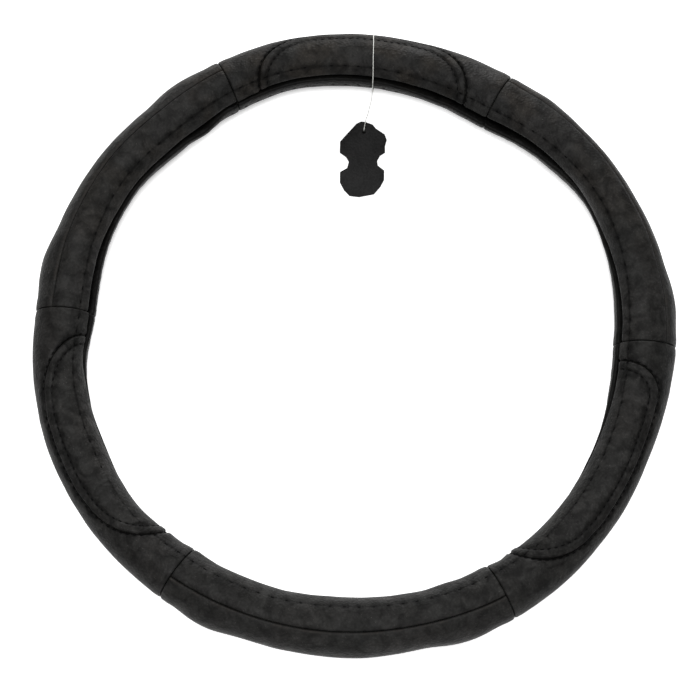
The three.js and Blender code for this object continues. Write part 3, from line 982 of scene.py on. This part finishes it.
# the hang tag: a hide-shaped swatch of leather, cut with a die, with a punched hole
hangTag = {
    "thickness": 1.2,
    "place": (4.5, 115.5),
    "edge": 0.3,
    "hole": (1.2, 17.9),
    "holeRadius": 1.05,
    # a black disc low in the hole: painted shade in place of the floor seen through it
    "holeShadeDisc": {"height": 0.2, "thickness": 0.3, "wider": 0.05},
    "outline": [
        (-0.8, 25.0), (-3.6, 23.4), (-8.8, 17.4), (-13.7, 11.6), (-13.9, 4.3), (-10.1, 1.5),
        (-8.2, -1.7), (-9.3, -6.0), (-13.7, -8.5), (-13.8, -15.3), (-11.2, -20.5), (-7.8, -24.2),
        (-1.9, -25.0), (7.4, -23.1), (11.2, -18.5), (13.7, -13.8), (13.8, -7.6), (9.8, -4.3),
        (9.4, -1.2), (11.3, 2.3), (14.4, 4.3), (14.3, 8.4), (15.5, 12.7), (14.2, 16.4), (8.7, 20.3),
        (6.8, 22.9), (1.9, 24.8),
    ],
    "look": {
        "dark": "#1e1e1e", "light": "#292929", "warmPatchAndSheen": "#262525", "wear": "#3a3a3a", "speck": "#4c4b4a",
        "grainSize": 1.1, "poreSize": 0.5, "patchSize": 16.0, "roughness": (0.5, 0.66), "shine": 0.06,
        "sewn": False,
    },
}


# the tag's outline and its hole as one flat curve with soft edges, made into a mesh
def cutTag():
    tag = hangTag
    line = bpy.data.curves.new("hangTagLine", "CURVE")
    line.dimensions = "2D"
    line.fill_mode = "BOTH"
    line.extrude = (tag["thickness"] / 2 - tag["edge"]) * mm
    line.bevel_depth = tag["edge"] * mm
    line.bevel_resolution = 2
    line.offset = -tag["edge"] * mm
    turns = np.linspace(0, 2 * math.pi, 25)[:-1]
    (x, y), radius = tag["hole"], tag["holeRadius"]
    hole = [(x + radius * math.cos(turn), y + radius * math.sin(turn)) for turn in turns]
    for ends in (tag["outline"], hole):
        spline = line.splines.new("POLY")
        spline.points.add(len(ends) - 1)
        for point, (x, y) in zip(spline.points, ends):
            point.co = ((x + tag["place"][0]) * mm, (y + tag["place"][1]) * mm, 0, 1)
        spline.use_cyclic_u = True
    drawn = linkObject("hangTagLine", line)
    depsgraph = bpy.context.evaluated_depsgraph_get()
    plain = bpy.data.meshes.new_from_object(drawn.evaluated_get(depsgraph))
    bpy.data.objects.remove(drawn)
    for corner in plain.vertices:
        corner.co.z += tag["thickness"] / 2 * mm
    plain.materials.clear()
    return plain


# a thin black disc at the bottom of the hole: painted shade where the floor would show through
def shadeHoleFloor(plain):
    tag, floor = hangTag, hangTag["holeShadeDisc"]
    (x, y), (holeX, holeY) = tag["place"], tag["hole"]
    middle = Matrix.Translation([value * mm for value in (x + holeX, y + holeY, floor["height"])])
    radius = (tag["holeRadius"] + floor["wider"]) * mm
    sizes = {"radius1": radius, "radius2": radius, "depth": floor["thickness"] * mm}
    closed = bmesh.new()
    closed.from_mesh(plain)
    before = set(closed.faces)
    bmesh.ops.create_cone(closed, cap_ends=True, segments=24, matrix=middle, **sizes)
    for face in set(closed.faces) - before:
        face.material_index = 1
    closed.to_mesh(plain)
    closed.free()


def makeTag():
    plain = cutTag()
    shadeHoleFloor(plain)
    plain.materials.append(leatherMaterial("dieCutLeather", hangTag["look"]))
    # black for the disc in the hole: painted shade
    plain.materials.append(stitchMaterial("holeShadeBlack", stitchLook["colour"]))
    made = linkObject("hang_tag_leather", plain)
    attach(made, "root")
    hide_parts("hang_tag")
    return made


tagPiece = makeTag()
print("tag in place")

# a pale floor that keeps the shadow, with a painted contact shadow in its glow near the cover, an even white
# surround and three soft lamps
studio = {
    "floorSize": 8.0,
    "floorColour": "#f2f2f2",
    "floorGlow": 0.85,
    "contactShadowReach": 0.007,  # metres over which the floor's glow darkens towards the cover: a painted contact shadow
    "surroundLight": 0.015,
    "lamps": [
        {"place": (0.1, 0.93, 0.34), "size": 0.4, "power": 8.0},
        {"place": (-0.04, -0.1, 1.28), "size": 0.5, "power": 10.0},
        {"place": (0.0, -0.75, 0.7), "size": 0.7, "power": 2.6},
    ],
}


# one for what the camera sees, straight or through a reflection
def seenRays(tree):
    path = addNode(tree, "ShaderNodeLightPath").outputs
    first = reckon(tree, "ADD", path["Is Camera Ray"], path["Is Glossy Ray"])
    rays = {0: first, 1: path["Is Transmission Ray"]}
    return addNode(tree, "ShaderNodeMath", rays, operation="ADD", use_clamp=True).outputs[0]


def makeFloor():
    half = studio["floorSize"] / 2
    data = bpy.data.meshes.new("studioFloor")
    corners = [(-half, -half, 0), (half, -half, 0), (half, half, 0), (-half, half, 0)]
    data.from_pydata(corners, [], [(0, 1, 2, 3)])
    material, tree = newMaterial("palePaper")
    paper = addNode(tree, "ShaderNodeBsdfDiffuse", {"Color": linear(studio["floorColour"])})
    contactShade = addNode(tree, "ShaderNodeAmbientOcclusion", {"Distance": studio["contactShadowReach"]}, samples=8)
    openFloor = reckon(tree, "MULTIPLY", seenRays(tree), contactShade.outputs["AO"])
    strength = reckon(tree, "MULTIPLY", openFloor, studio["floorGlow"])
    glow = addNode(tree, "ShaderNodeEmission", {"Strength": strength})
    both = addNode(tree, "ShaderNodeAddShader", {0: paper.outputs[0], 1: glow.outputs[0]})
    addNode(tree, "ShaderNodeOutputMaterial", {"Surface": both.outputs[0]})
    data.materials.append(material)
    linkObject("studioFloor", data)


def makeSurround():
    world = bpy.data.worlds.new("studioSurround")
    world.use_nodes = True
    tree = world.node_tree
    tree.nodes.clear()
    bpy.context.scene.world = world
    strength = remap(tree, seenRays(tree), 0.0, 1.0, studio["surroundLight"], 1.0)
    sky = addNode(tree, "ShaderNodeBackground", {"Strength": strength})
    addNode(tree, "ShaderNodeOutputWorld", {"Surface": sky.outputs[0]})


def makeLamps():
    for number, lamp in enumerate(studio["lamps"]):
        light = bpy.data.lights.new(f"softLamp{number}", "AREA")
        light.size = lamp["size"]
        light.energy = lamp["power"]
        thing = linkObject(f"softLamp{number}", light)
        thing.location = lamp["place"]
        thing.rotation_euler = Vector(lamp["place"]).to_track_quat("Z", "Y").to_euler()


makeFloor()
makeSurround()
makeLamps()
print("studio in place")
